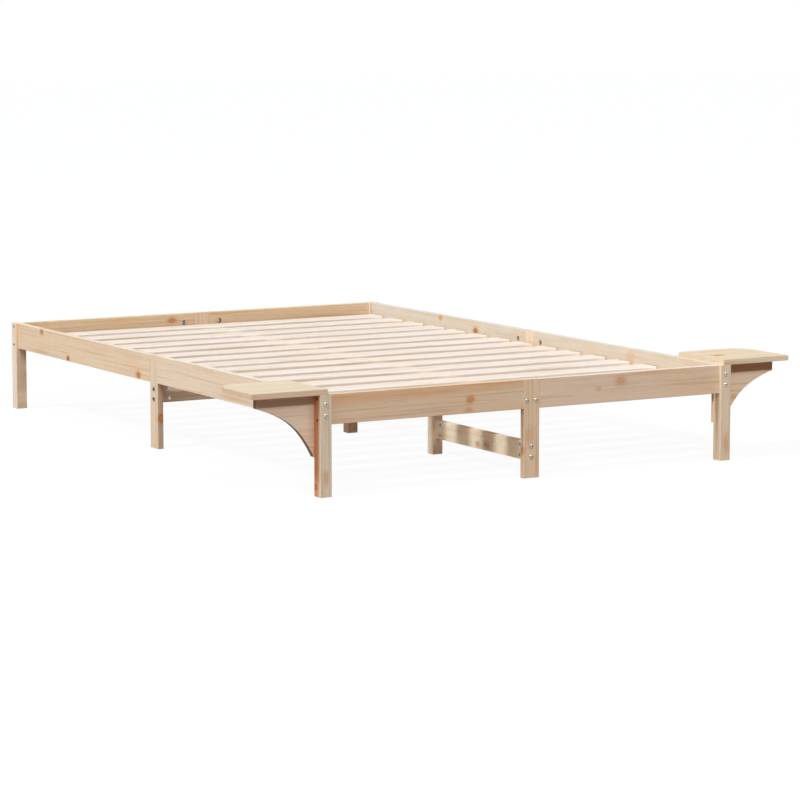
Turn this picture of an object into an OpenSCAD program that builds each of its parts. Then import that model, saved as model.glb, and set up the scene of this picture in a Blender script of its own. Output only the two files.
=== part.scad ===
// Low slatted pine bed with a small nightstand shelf on a curved bracket at each side of the head.
// Millimetres, +Z up. X runs across the bed, +Y from the head end to the foot end.
// The origin lies on the floor under the centre of the bed.

/* [Bed frame] */
// Width over the outer faces of the corner legs
bed_width = 1263; // [1000:1:1700]
// Length over the outer faces of the corner legs
bed_length = 1951; // [1850:1:2150]
// Height of the legs, which is also the height of the rails' top edges
leg_height = 260; // [250:1:330]
// Side of the square corner legs
leg_size = 33; // [28:0.5:50]
// Thickness of the side, head and foot rails
rail_thickness = 17; // [16:0.5:22]
// Height of the side, head and foot rails
rail_height = 77; // [75:1:84]
// Width of the flat legs in the middle of each side
mid_leg_width = 48; // [44:1:80]
// Radius of the eased long edges of legs, rails and beams
edge_radius = 1.25; // [0.5:0.25:3]

/* [Centre support] */
// Side of the square legs under the centre line
centre_leg_size = 30.5; // [24:0.5:40]
// Distance of the two outer centre legs from the middle of the bed
quarter_leg_distance = 475; // [380:1:560]
// Thickness of the low stretchers and of the cross beams
beam_thickness = 17; // [15:0.5:22]
// Height of the low stretchers and of the cross beams
beam_height = 50; // [42:1:52]
// Underside of the low stretchers above the floor
stretcher_lift = 45; // [25:1:60]
// Gap between the rails' bottom edges and the tops of the cross beams
cross_beam_gap = 5.5; // [2:0.5:30]
// Width of the flat board along the centre line
centre_board_width = 50; // [44:1:80]
// Thickness of the flat board along the centre line
centre_board_thickness = 17; // [15:0.5:22]

/* [Slats] */
// Width of a slat
slat_width = 70; // [50:1:95]
// Thickness of a slat
slat_thickness = 12; // [10:0.5:14]
// Radius of the slats' long edges
slat_edge_radius = 3; // [1:0.25:4.5]
// Depth of the slats' top faces below the rails' top edges
slat_drop = 35; // [30:0.5:37]
// Gap between a slat's end and the side rail's inner face
slat_end_gap = 10.5; // [2:0.5:13]
// Gap between the outermost slats and the corner legs
slat_first_gap = 15.5; // [2:0.5:30]
// Width of the ledgers that carry the slats' ends
ledger_width = 28; // [24:0.5:40]
// Height of the ledgers that carry the slats' ends
ledger_height = 28; // [20:0.5:29]

/* [Nightstands] */
// Reach of a shelf beyond the corner leg's outer face
shelf_reach = 192; // [180:1:300]
// Overlap of a shelf on top of the corner leg
shelf_overlap = 22.5; // [15:0.5:26]
// Depth of a shelf from the head end towards the foot end
shelf_depth = 215; // [180:1:320]
// Thickness of a shelf
shelf_thickness = 14; // [12:0.5:20]
// Radius of a shelf's outer back corner
shelf_corner_radius = 71; // [10:1:120]
// Reach of a bracket beyond the corner leg's outer face
bracket_reach = 162.5; // [140:0.5:176]
// Thickness of a bracket
bracket_thickness = 17; // [15:0.5:22]
// Height of a bracket at the leg
bracket_height = 160.5; // [140:0.5:180]
// Height of a bracket at its outer end
bracket_end_height = 28; // [26:0.5:45]
// Width of the flat tip at a bracket's lower end
bracket_tip_width = 0.5; // [0.5:0.5:10]
// Slope of the curved edge at the outer end, in degrees from level
bracket_end_slope = 17; // [5:1:25]
// Slope of the curved edge at the lower tip, in degrees from level
bracket_tip_slope = 63; // [58:1:80]
// Tightness of the curved edge's bend
bracket_bend = 1.4; // [0.8:0.1:2.2]
// Distance from the corner leg's inner face to the end of the bracket's tongue
tongue_setback = 5; // [3:0.5:8]
// Thickness of the cleats under a shelf
cleat_thickness = 17; // [15:0.5:20]
// Height of the cleats under a shelf
cleat_height = 25; // [20:0.5:26]
// Distance from a bracket's outer end to the end of its cleat
cleat_inset = 18; // [10:1:40]
// Length of the cleat on the side rail
rail_cleat_length = 134; // [100:1:140]

/* [Fasteners] */
// Diameter of the connector bolts
bolt_diameter = 6; // [5:0.5:7]
// Diameter of the bolts' round heads
bolt_head_diameter = 12; // [10:0.5:13]
// Height of the bolts' round heads
bolt_head_height = 3.2; // [2.5:0.1:3.8]
// Depth of the counterbores for the long screws that run across the bed
counterbore_depth = 5; // [2:0.5:8]
// Spacing of the corner bolts that run along the bed
long_bolt_spacing = 29; // [26:0.5:32]
// Spacing of the corner screws that run across the bed
cross_screw_spacing = 55; // [52:0.5:57]
// Spacing of the bolts in the stretchers and cross beams
beam_bolt_spacing = 28; // [22:0.5:30]
// Spacing of the two bolts in the end of the centre board
board_bolt_spacing = 27.5; // [22:0.5:30]
// Height of the upper mid-leg stud above the rails' centre line
mid_stud_rise = 9.5; // [6:0.5:14]
// Height of the lower mid-leg stud below the rails' centre line
mid_stud_fall = 27; // [25:0.5:28]
// Radius of the pockets for the half-moon nuts
pocket_radius = 8; // [7.5:0.25:9]
// Distance from a rail's end to the centre of its nut pocket
pocket_setback = 36; // [28:0.5:45]
// Diameter of the barrel nuts
barrel_diameter = 10; // [9.5:0.5:12]
// Distance from a beam's end to its barrel nuts
barrel_setback = 27; // [20:0.5:40]
// Diameter of the wood screws
screw_diameter = 4; // [3:0.25:4.5]
// Diameter of the wood screws' countersunk heads
screw_head_diameter = 7.5; // [6.5:0.25:8]
// Grip of a short screw in the piece that it holds
short_screw_grip = 8; // [6:0.5:9]
// Grip of a long screw in the leg or cross piece that it holds
long_screw_grip = 15; // [12:0.5:17]
// Grip of a corner bolt in the end of a side rail
corner_bolt_grip = 45; // [30:1:60]
// Grip of a corner screw in the end of a head or foot rail
corner_screw_grip = 42; // [25:1:60]
// Width over the flats of the nuts' hexagons
nut_hex_across = 10; // [9:0.5:10]
// Height of the nuts' hexagons
nut_hex_height = 4.5; // [3:0.5:5]
// Room left beyond the ends of bolts and round the backs of nuts
end_room = 1; // [0.6:0.1:1.4]
// Gap between round metal pieces and the wood round them
fit_gap = 0.3; // [0.2:0.05:0.5]

/* [Hidden] */
slat_numbers = [1:15];

// Signs of the four sides, used as multipliers of X or Y.
LEFT = -1;
RIGHT = 1;
HEAD = -1;
FOOT = 1;

frame_colour = [0.85, 0.70, 0.52];
leg_colour = [0.80, 0.66, 0.48];
slat_colour = [0.94, 0.88, 0.78];
shelf_colour = [0.90, 0.80, 0.64];
bracket_colour = [0.78, 0.63, 0.46];
hidden_wood_colour = [0.76, 0.62, 0.46];
metal_colour = [0.72, 0.72, 0.70];

fine = 96;
medium = 48;
coarse = 24;
cut = 1;

half_width = bed_width / 2;
half_length = bed_length / 2;
leg_inset = (leg_size - rail_thickness) / 2;
rail_outer_x = half_width - leg_inset;
rail_inner_x = rail_outer_x - rail_thickness;
rail_outer_y = half_length - leg_inset;
rail_inner_y = rail_outer_y - rail_thickness;
rail_bottom = leg_height - rail_height;
rail_mid_x = rail_inner_x + rail_thickness / 2;
rail_mid_y = rail_inner_y + rail_thickness / 2;
rail_mid_z = rail_bottom + rail_height / 2;
leg_inner_x = half_width - leg_size;
leg_inner_y = half_length - leg_size;

slat_top = leg_height - slat_drop;
slat_bottom = slat_top - slat_thickness;
slat_end_x = rail_inner_x - slat_end_gap;
slat_first_y = leg_inner_y - slat_first_gap - slat_width / 2;
slat_pitch = 2 * slat_first_y / 14;
ledger_mid_x = rail_inner_x - ledger_width / 2;
ledger_bearing = ledger_width - slat_end_gap;
board_bottom = slat_bottom - centre_board_thickness;
board_mid_z = slat_bottom - centre_board_thickness / 2;
stretcher_mid_z = stretcher_lift + beam_height / 2;
cross_beam_mid_z = rail_bottom - cross_beam_gap - beam_height / 2;

shelf_inner_x = half_width - shelf_overlap;
shelf_outer_x = half_width + shelf_reach;
bracket_outer_x = half_width + bracket_reach;
bracket_back_y = leg_inner_y - bracket_thickness;
bracket_bottom = leg_height - bracket_height;
tongue_inner_x = leg_inner_x + tongue_setback;
tongue_top = rail_bottom - fit_gap;

bore_radius = bolt_diameter / 2 + fit_gap;
barrel_radius = barrel_diameter / 2;
screw_bore_radius = screw_diameter / 2 + fit_gap;
screw_head_radius = screw_head_diameter / 2;
counterbore_radius = screw_head_radius + end_room;
screw_head_height = screw_head_radius - screw_diameter / 2;
nut_radius = pocket_radius - fit_gap;
pocket_depth = rail_thickness / 2 + nut_hex_across / 2 + end_room / 2;
nut_height = pocket_depth - end_room;
nut_thread_end = bolt_diameter + end_room / 2;
barrel_thread_end = bolt_diameter / 2;
barrel_bore_end = barrel_thread_end + end_room;

// ---------- basic shapes ----------

module rounded_rect(size, r) {
  square([size.x - 2 * r, size.y], center = true);
  square([size.x, size.y - 2 * r], center = true);
  for (x = [-1, 1], y = [-1, 1])
    translate([x * (size.x / 2 - r), y * (size.y / 2 - r)])
      circle(r = r, $fn = coarse);
}

// A square or flat post standing on the floor.
module post(size_x, size_y, height) {
  linear_extrude(height) rounded_rect([size_x, size_y], edge_radius);
}

// A bar from x = from to x = to, centred on Y and Z.
module bar_x(from, to, size_y, size_z, r = edge_radius) {
  translate([from, 0, 0])
    rotate([90, 0, 90])
      linear_extrude(to - from) rounded_rect([size_y, size_z], r);
}

// A bar from y = from to y = to, centred on X and Z.
module bar_y(from, to, size_x, size_z, r = edge_radius) {
  translate([0, to, 0])
    rotate([90, 0, 0])
      linear_extrude(to - from) rounded_rect([size_x, size_z], r);
}

// A round hole or shaft of a given radius from z = from to z = to.
module shaft(r, from, to) {
  translate([0, 0, from]) cylinder(r = r, h = to - from, $fn = coarse);
}

// Turn +Z to point along +X or -X.
module along_x(sign) {
  rotate([0, 90 * sign, 0]) children();
}

// Turn +Z to point along +Y or -Y.
module along_y(sign) {
  rotate([-90 * sign, 0, 0]) children();
}

// ---------- fasteners ----------

// Connector bolt: the head's seat is at z = 0, the shank runs down to z = -length.
// The head is a low dome on a short straight rim, with a hexagonal socket.
module connector_bolt(length) {
  rim = bolt_head_height * 0.25;
  land = bolt_head_diameter * 0.25;
  drop = bolt_head_height - rim;
  socket_across = bolt_head_diameter / 3;
  socket_depth = bolt_head_height * 0.6;
  dome = [for (a = [0:15:90])
    [land + (bolt_head_diameter / 2 - land) * cos(a), rim + drop * sin(a)]];
  difference() {
    union() {
      rotate_extrude($fn = medium)
        polygon(concat([[0, 0], [bolt_head_diameter / 2, 0]], dome, [[0, bolt_head_height]]));
      shaft(bolt_diameter / 2, -length, cut / 2);
    }
    translate([0, 0, bolt_head_height - socket_depth])
      cylinder(d = socket_across / cos(30), h = socket_depth + cut, $fn = 6);
  }
}

// Half-moon nut in its pocket. The bolt comes along +X at half the rail's thickness;
// the pocket's axis is Z and its mouth is at z = 0, with the wood below.
module half_moon_nut() {
  bolt_depth = rail_thickness / 2;
  difference() {
    union() {
      intersection() {
        shaft(nut_radius, -nut_height - cut / 2, -cut / 2);
        translate([-2 * nut_radius, -nut_radius, -nut_height - cut])
          cube([2 * nut_radius, 2 * nut_radius, nut_height + cut]);
      }
      translate([0, 0, -bolt_depth])
        rotate([0, 90, 0])
          rotate([0, 0, 30])
            cylinder(d = nut_hex_across / cos(30), h = nut_hex_height, $fn = 6);
    }
    translate([0, 0, -bolt_depth])
      along_x(1)
        shaft(bore_radius, -nut_radius - cut, nut_hex_height + cut);
  }
}

// Countersunk wood screw: the head's top is at z = 0, the point is at z = -length.
module wood_screw(length) {
  tip = screw_diameter;
  rotate_extrude($fn = coarse)
    polygon([
      [0, 0],
      [screw_head_radius, 0],
      [screw_diameter / 2, -screw_head_height],
      [screw_diameter / 2, tip - length],
      [0, -length]
    ]);
}

// The hole for a countersunk screw whose head is flush with z = 0.
module screw_hole(length) {
  rotate_extrude($fn = coarse)
    polygon([
      [0, cut],
      [screw_head_radius + fit_gap, cut],
      [screw_head_radius + fit_gap, -fit_gap],
      [screw_bore_radius, -screw_head_height - fit_gap],
      [screw_bore_radius, -length - fit_gap],
      [0, -length - fit_gap]
    ]);
}

// ---------- places of the fasteners ----------

// Heights of the two bolts along the bed and of the two screws across it.
long_bolt_heights = [for (s = [-1, 1]) rail_mid_z + s * long_bolt_spacing / 2];
cross_screw_heights = [for (s = [-1, 1]) rail_mid_z + s * cross_screw_spacing / 2];
mid_stud_heights = [rail_mid_z + mid_stud_rise, rail_mid_z - mid_stud_fall];
stretcher_bolt_heights = [for (s = [-1, 1]) stretcher_mid_z + s * beam_bolt_spacing / 2];
cross_beam_bolt_heights = [for (s = [-1, 1]) cross_beam_mid_z + s * beam_bolt_spacing / 2];
board_bolt_offsets = [for (s = [-1, 1]) s * board_bolt_spacing / 2];

// Corner bolts along the bed start on the legs' end faces and end in the side rails.
module at_long_bolts(sx, sy) {
  for (z = long_bolt_heights)
    translate([sx * rail_mid_x, sy * half_length, z]) along_y(sy) children();
}

// Corner screws across the bed start in counterbores on the legs' side faces
// and end in the head and foot rails.
module at_cross_screws(sx, sy) {
  for (z = cross_screw_heights)
    translate([sx * (half_width - counterbore_depth), sy * rail_mid_y, z])
      along_x(sx) children();
}

// Studs across the head and foot mid-legs, centred in the leg.
module at_end_mid_studs(sy) {
  for (z = mid_stud_heights)
    translate([0, sy * rail_mid_y, z]) along_x(1) children();
}

// Studs along the side mid-legs, centred in the leg.
module at_side_mid_studs(sx) {
  for (z = mid_stud_heights)
    translate([sx * rail_mid_x, 0, z]) along_y(1) children();
}

// Bolts through the end mid-legs into the low stretchers.
module at_stretcher_bolts(sy) {
  for (z = stretcher_bolt_heights)
    translate([0, sy * rail_outer_y, z]) along_y(sy) children();
}

// Bolts through the outer centre legs into the inner ends of the low stretchers.
module at_quarter_bolts(sy) {
  for (z = stretcher_bolt_heights)
    translate([0, sy * (quarter_leg_distance - centre_leg_size / 2), z])
      along_y(-sy) children();
}

// Bolts through the side mid-legs into the cross beams.
module at_cross_beam_bolts(sx) {
  for (z = cross_beam_bolt_heights)
    translate([sx * rail_outer_x, 0, z]) along_x(sx) children();
}

// Studs through the centre leg, from one cross beam to the other.
module at_centre_studs() {
  for (z = cross_beam_bolt_heights)
    translate([0, 0, z]) along_x(1) children();
}

// Bolts through the end mid-legs into the ends of the flat centre board.
module at_board_bolts(sy) {
  for (x = board_bolt_offsets)
    translate([x, sy * rail_outer_y, board_mid_z]) along_y(sy) children();
}

long_bolt_length = leg_size + corner_bolt_grip;
corner_screw_length = leg_size - counterbore_depth + corner_screw_grip;
mid_stud_half = mid_leg_width / 2 + pocket_setback + nut_thread_end;
mid_bolt_length = rail_thickness + barrel_setback + barrel_radius + barrel_thread_end;
quarter_bolt_length = centre_leg_size + barrel_setback + barrel_radius + barrel_thread_end;
centre_stud_half = centre_leg_size / 2 + barrel_setback + barrel_radius + barrel_thread_end;

// ---------- legs ----------

module corner_leg(sx, sy) {
  color(leg_colour)
    difference() {
      translate([sx * (half_width - leg_size / 2), sy * (half_length - leg_size / 2), 0])
        post(leg_size, leg_size, leg_height);
      at_long_bolts(sx, sy) shaft(bore_radius, -leg_size - cut, cut);
      at_cross_screws(sx, sy) {
        screw_hole(corner_screw_length);
        shaft(counterbore_radius, 0, counterbore_depth + cut);
      }
      if (sy == HEAD) at_tongue_screws(sx) screw_hole(tongue_screw_length);
    }
}

module end_mid_leg(sy) {
  color(leg_colour)
    difference() {
      translate([0, sy * rail_mid_y, 0]) post(mid_leg_width, rail_thickness, leg_height);
      at_end_mid_studs(sy) shaft(bore_radius, -mid_leg_width, mid_leg_width);
      at_stretcher_bolts(sy) shaft(bore_radius, -rail_thickness - cut, cut);
      at_board_bolts(sy) shaft(bore_radius, -rail_thickness - cut, cut);
    }
}

module side_mid_leg(sx) {
  color(leg_colour)
    difference() {
      translate([sx * rail_mid_x, 0, 0]) post(rail_thickness, mid_leg_width, leg_height);
      at_side_mid_studs(sx) shaft(bore_radius, -mid_leg_width, mid_leg_width);
      at_cross_beam_bolts(sx) shaft(bore_radius, -rail_thickness - cut, cut);
    }
}

module centre_leg() {
  color(leg_colour)
    difference() {
      post(centre_leg_size, centre_leg_size, board_bottom);
      at_centre_studs() shaft(bore_radius, -centre_leg_size, centre_leg_size);
      for (sy = [HEAD, FOOT]) at_centre_leg_screw(sy) screw_hole(board_screw_length);
    }
}

module quarter_leg(sy) {
  color(leg_colour)
    difference() {
      translate([0, sy * quarter_leg_distance, 0])
        post(centre_leg_size, centre_leg_size, board_bottom);
      at_quarter_bolts(sy) shaft(bore_radius, -centre_leg_size - cut, cut);
      at_quarter_leg_screw(sy) screw_hole(board_screw_length);
    }
}

// ---------- rails ----------

// Blind pocket in the inner face of a side rail, mouth towards the bed.
module side_pocket(sx, y, z) {
  translate([sx * rail_inner_x, y, z])
    along_x(-sx) shaft(pocket_radius, -pocket_depth, cut);
}

// Blind pocket in the inner face of a head or foot rail, mouth towards the bed.
module end_pocket(sy, x, z) {
  translate([x, sy * rail_inner_y, z])
    along_y(-sy) shaft(pocket_radius, -pocket_depth, cut);
}

mid_pocket = mid_leg_width / 2 + pocket_setback;

module side_rail(sx, sy) {
  ends = [sy * mid_leg_width / 2, sy * leg_inner_y];
  bolt_reach = pocket_setback + pocket_radius;
  color(frame_colour)
    difference() {
      translate([sx * rail_mid_x, 0, rail_mid_z])
        bar_y(min(ends), max(ends), rail_thickness, rail_height);
      at_long_bolts(sx, sy) shaft(bore_radius, -long_bolt_length - end_room, cut);
      at_side_mid_studs(sx)
        shaft(bore_radius, -mid_leg_width / 2 - bolt_reach, mid_leg_width / 2 + bolt_reach);
      for (z = mid_stud_heights) side_pocket(sx, sy * mid_pocket, z);
      at_ledger_screws(sx, sy) screw_hole(ledger_screw_length);
      if (sy == HEAD) at_rail_cleat_screws(sx) screw_hole(cleat_screw_length);
    }
}

module end_rail(sx, sy) {
  ends = [sx * mid_leg_width / 2, sx * leg_inner_x];
  bolt_reach = pocket_setback + pocket_radius;
  color(frame_colour)
    difference() {
      translate([0, sy * rail_mid_y, rail_mid_z])
        bar_x(min(ends), max(ends), rail_thickness, rail_height);
      at_cross_screws(sx, sy) screw_hole(corner_screw_length);
      at_end_mid_studs(sy)
        shaft(bore_radius, -mid_leg_width / 2 - bolt_reach, mid_leg_width / 2 + bolt_reach);
      for (z = mid_stud_heights) end_pocket(sy, sx * mid_pocket, z);
    }
}

// ---------- centre support ----------

module stretcher(sy) {
  ends = [
    sy * (quarter_leg_distance + centre_leg_size / 2),
    sy * rail_inner_y
  ];
  barrel_places = [
    sy * (quarter_leg_distance + centre_leg_size / 2 + barrel_setback),
    sy * (rail_inner_y - barrel_setback)
  ];
  bolt_reach = barrel_setback + barrel_radius + barrel_bore_end;
  color(hidden_wood_colour)
    difference() {
      translate([0, 0, stretcher_mid_z])
        bar_y(min(ends), max(ends), beam_thickness, beam_height);
      at_stretcher_bolts(sy) shaft(bore_radius, -rail_thickness - bolt_reach, cut);
      at_quarter_bolts(sy) shaft(bore_radius, -centre_leg_size - bolt_reach, cut);
      for (y = barrel_places, z = stretcher_bolt_heights)
        translate([0, y, z])
          along_x(1) shaft(barrel_radius + fit_gap, -beam_thickness, beam_thickness);
    }
}

module cross_beam(sx) {
  ends = [sx * centre_leg_size / 2, sx * rail_inner_x];
  barrel_places = [
    sx * (centre_leg_size / 2 + barrel_setback),
    sx * (rail_inner_x - barrel_setback)
  ];
  bolt_reach = barrel_setback + barrel_radius + barrel_bore_end;
  color(hidden_wood_colour)
    difference() {
      translate([0, 0, cross_beam_mid_z])
        bar_x(min(ends), max(ends), beam_thickness, beam_height);
      at_cross_beam_bolts(sx) shaft(bore_radius, -rail_thickness - bolt_reach, cut);
      at_centre_studs()
        shaft(bore_radius, -centre_leg_size / 2 - bolt_reach, centre_leg_size / 2 + bolt_reach);
      for (x = barrel_places, z = cross_beam_bolt_heights)
        translate([x, 0, z])
          along_y(1) shaft(barrel_radius + fit_gap, -beam_thickness, beam_thickness);
    }
}

module centre_board(sy) {
  ends = [0, sy * rail_inner_y];
  bolt_reach = barrel_setback + barrel_radius + barrel_bore_end;
  color(hidden_wood_colour)
    difference() {
      translate([0, 0, board_mid_z])
        bar_y(min(ends), max(ends), centre_board_width, centre_board_thickness);
      at_board_bolts(sy) shaft(bore_radius, -rail_thickness - bolt_reach, cut);
      for (x = board_bolt_offsets)
        translate([x, sy * (rail_inner_y - barrel_setback), board_mid_z])
          shaft(barrel_radius + fit_gap, -centre_board_thickness, centre_board_thickness);
      at_centre_leg_screw(sy) screw_hole(board_screw_length);
      at_quarter_leg_screw(sy) screw_hole(board_screw_length);
    }
}

// ---------- ledgers and slats ----------

ledger_end_gap = 1;

module ledger(sx, sy) {
  ends = [0, sy * (leg_inner_y - ledger_end_gap)];
  color(hidden_wood_colour)
    difference() {
      translate([sx * ledger_mid_x, 0, slat_bottom - ledger_height / 2])
        bar_y(min(ends), max(ends), ledger_width, ledger_height);
      at_ledger_screws(sx, sy) screw_hole(ledger_screw_length);
      for (n = slat_numbers) at_slat_screws(n) screw_hole(slat_screw_length);
    }
}

function slat_y(n) = -slat_first_y + (n - 1) * slat_pitch;

module slat(n) {
  color(slat_colour)
    difference() {
      translate([0, slat_y(n), slat_top - slat_thickness / 2])
        bar_x(-slat_end_x, slat_end_x, slat_width, slat_thickness, slat_edge_radius);
      at_slat_screws(n) screw_hole(slat_screw_length);
    }
}

// ---------- nightstands ----------

// Built for the right side; the left side is its mirror image.
module mirrored(sx) {
  if (sx == LEFT) mirror([1, 0, 0]) children();
  else children();
}

module shelf(sx) {
  width = shelf_outer_x - shelf_inner_x;
  r = shelf_corner_radius;
  color(shelf_colour)
    difference() {
      mirrored(sx)
        translate([shelf_inner_x, -half_length, leg_height])
          linear_extrude(shelf_thickness) {
            difference() {
              square([width, shelf_depth]);
              translate([width - r, shelf_depth - r]) square(r + cut);
            }
            translate([width - r, shelf_depth - r]) circle(r = r, $fn = fine);
          }
      at_shelf_screws(sx) screw_hole(shelf_screw_length);
    }
}

// The curved edge is a conic from the outer end to the tip, in X and Z.
bracket_curve_start = [bracket_outer_x, leg_height - bracket_end_height];
bracket_curve_end = [half_width + bracket_tip_width, bracket_bottom];
bracket_curve_span = bracket_curve_start - bracket_curve_end;
bracket_corner_x = bracket_curve_end.x
  + (bracket_curve_span.y - bracket_curve_span.x * tan(bracket_end_slope))
  / (tan(bracket_tip_slope) - tan(bracket_end_slope));
bracket_corner = [
  bracket_corner_x,
  bracket_bottom + (bracket_corner_x - bracket_curve_end.x) * tan(bracket_tip_slope)
];
bracket_steps = 28;

function bracket_curve(t) =
  let (a = (1 - t) * (1 - t), b = 2 * bracket_bend * t * (1 - t), c = t * t)
  (a * bracket_curve_start + b * bracket_corner + c * bracket_curve_end) / (a + b + c);

module bracket(sx) {
  curve = [for (n = [0:bracket_steps]) bracket_curve(n / bracket_steps)];
  outline = concat(
    [[bracket_outer_x, leg_height]],
    curve,
    [[tongue_inner_x, bracket_bottom]],
    [[tongue_inner_x, tongue_top]],
    [[rail_outer_x, tongue_top]],
    [[rail_outer_x, leg_height]]
  );
  color(bracket_colour)
    difference() {
      mirrored(sx)
        translate([0, -bracket_back_y, 0])
          rotate([90, 0, 0])
            linear_extrude(bracket_thickness) polygon(outline);
      at_tongue_screws(sx) screw_hole(tongue_screw_length);
      at_bracket_cleat_screws(sx) screw_hole(cleat_screw_length);
    }
}

bracket_cleat_end_x = bracket_outer_x - cleat_inset;
bracket_cleat_mid_y = bracket_back_y - cleat_thickness / 2;
cleat_mid_z = leg_height - cleat_height / 2;
rail_cleat_mid_x = rail_outer_x + cleat_thickness / 2;
rail_cleat_start_y = bracket_back_y - cleat_thickness;

module bracket_cleat(sx) {
  color(hidden_wood_colour)
    difference() {
      mirrored(sx)
        translate([0, -bracket_cleat_mid_y, cleat_mid_z])
          bar_x(rail_outer_x, bracket_cleat_end_x, cleat_thickness, cleat_height);
      at_bracket_cleat_screws(sx) screw_hole(cleat_screw_length);
      at_shelf_screws(sx) screw_hole(shelf_screw_length);
    }
}

module rail_cleat(sx) {
  color(hidden_wood_colour)
    difference() {
      mirrored(sx)
        translate([rail_cleat_mid_x, 0, cleat_mid_z])
          bar_y(
            -rail_cleat_start_y, rail_cleat_length - rail_cleat_start_y,
            cleat_thickness, cleat_height
          );
      at_rail_cleat_screws(sx) screw_hole(cleat_screw_length);
      at_shelf_screws(sx) screw_hole(shelf_screw_length);
    }
}

// ---------- screw lengths and places ----------

slat_screw_length = slat_thickness + long_screw_grip;
ledger_screw_length = ledger_width + short_screw_grip;
board_screw_length = centre_board_thickness + long_screw_grip;
tongue_screw_length = bracket_thickness + long_screw_grip;
cleat_screw_length = cleat_thickness + short_screw_grip;
shelf_screw_length = cleat_height + short_screw_grip;
ledger_screw_gaps = [1, 3, 5];
cleat_screw_fractions = [0.3, 0.75];

// Slat screws stand in the middle of the slat's bearing on the ledger.
module at_slat_screws(n) {
  for (sx = [LEFT, RIGHT])
    translate([sx * (slat_end_x - ledger_bearing / 2), slat_y(n), slat_top]) children();
}

// Ledger screws run outwards into the side rail, each in a gap between two slats,
// clear of the nut pockets near the mid-leg.
module at_ledger_screws(sx, sy) {
  for (gap = ledger_screw_gaps)
    translate([
      sx * (rail_inner_x - ledger_width),
      sy * (gap + 0.5) * slat_pitch,
      slat_bottom - ledger_height * 0.5
    ])
      along_x(-sx) children();
}

// The centre board's inner end rests on half of the centre leg.
module at_centre_leg_screw(sy) {
  translate([0, sy * centre_leg_size / 4, slat_bottom]) children();
}

module at_quarter_leg_screw(sy) {
  translate([0, sy * quarter_leg_distance, slat_bottom]) children();
}

// Screws through the bracket's tongue into the back of the corner leg.
module at_tongue_screws(sx) {
  for (f = [0.3, 0.7])
    translate([
      sx * (half_width - leg_size / 2),
      -bracket_back_y,
      bracket_bottom + f * (tongue_top - bracket_bottom)
    ])
      along_y(FOOT) children();
}

module at_bracket_cleat_screws(sx) {
  for (f = cleat_screw_fractions)
    translate([
      sx * (rail_outer_x + f * (bracket_cleat_end_x - rail_outer_x)),
      -bracket_back_y + cleat_thickness,
      cleat_mid_z
    ])
      along_y(FOOT) children();
}

module at_rail_cleat_screws(sx) {
  for (f = cleat_screw_fractions)
    translate([
      sx * (rail_outer_x + cleat_thickness),
      -rail_cleat_start_y + f * rail_cleat_length,
      cleat_mid_z
    ])
      along_x(sx) children();
}

// Screws up through the two cleats into the shelf, clear of the screws across the cleats.
module at_shelf_screws(sx) {
  for (f = [0.5, 0.9]) {
    translate([
      sx * (rail_outer_x + f * (bracket_cleat_end_x - rail_outer_x)),
      -bracket_cleat_mid_y,
      leg_height - cleat_height
    ])
      rotate([180, 0, 0]) children();
    translate([
      sx * rail_cleat_mid_x,
      -rail_cleat_start_y + f * rail_cleat_length,
      leg_height - cleat_height
    ])
      rotate([180, 0, 0]) children();
  }
}

// ---------- groups of identical fasteners ----------

module corner_bolts() {
  color(metal_colour)
    for (sx = [LEFT, RIGHT], sy = [HEAD, FOOT])
      at_long_bolts(sx, sy) connector_bolt(long_bolt_length);
}

module corner_screws() {
  color(metal_colour)
    for (sx = [LEFT, RIGHT], sy = [HEAD, FOOT])
      at_cross_screws(sx, sy) wood_screw(corner_screw_length);
}

// Half-moon nuts: the flat of each nut faces away from the bolt's head.
module half_moon_nuts() {
  color(metal_colour)
    for (sx = [LEFT, RIGHT], sy = [HEAD, FOOT]) {
      for (z = mid_stud_heights) {
        translate([sx * rail_inner_x, sy * mid_pocket, z])
          nut_in_side_rail(sx, sy);
        translate([sx * mid_pocket, sy * rail_inner_y, z])
          nut_in_end_rail(sy, sx);
      }
    }
}

// A nut whose bolt points along towards * Y, in the inner face of a side rail.
module nut_in_side_rail(sx, towards) {
  along_x(-sx) rotate([0, 0, 90 * towards]) half_moon_nut();
}

// A nut whose bolt points along towards * X, in the inner face of a head or foot rail.
module nut_in_end_rail(sy, towards) {
  along_y(-sy) rotate([0, 0, towards == 1 ? 0 : 180]) half_moon_nut();
}

module mid_leg_studs() {
  color(metal_colour)
    for (s = [-1, 1]) {
      at_end_mid_studs(s) shaft(bolt_diameter / 2, -mid_stud_half, mid_stud_half);
      at_side_mid_studs(s) shaft(bolt_diameter / 2, -mid_stud_half, mid_stud_half);
    }
}

module beam_bolts() {
  color(metal_colour) {
    for (s = [-1, 1]) {
      at_stretcher_bolts(s) connector_bolt(mid_bolt_length);
      at_quarter_bolts(s) connector_bolt(quarter_bolt_length);
      at_cross_beam_bolts(s) connector_bolt(mid_bolt_length);
      at_board_bolts(s) connector_bolt(mid_bolt_length);
    }
    at_centre_studs() shaft(bolt_diameter / 2, -centre_stud_half, centre_stud_half);
  }
}

// A barrel nut across a beam, with the bolt's thread along X.
module barrel_nut(length) {
  difference() {
    shaft(barrel_radius, -length / 2, length / 2);
    rotate([0, 90, 0]) shaft(bore_radius, -barrel_diameter, barrel_diameter);
  }
}

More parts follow.
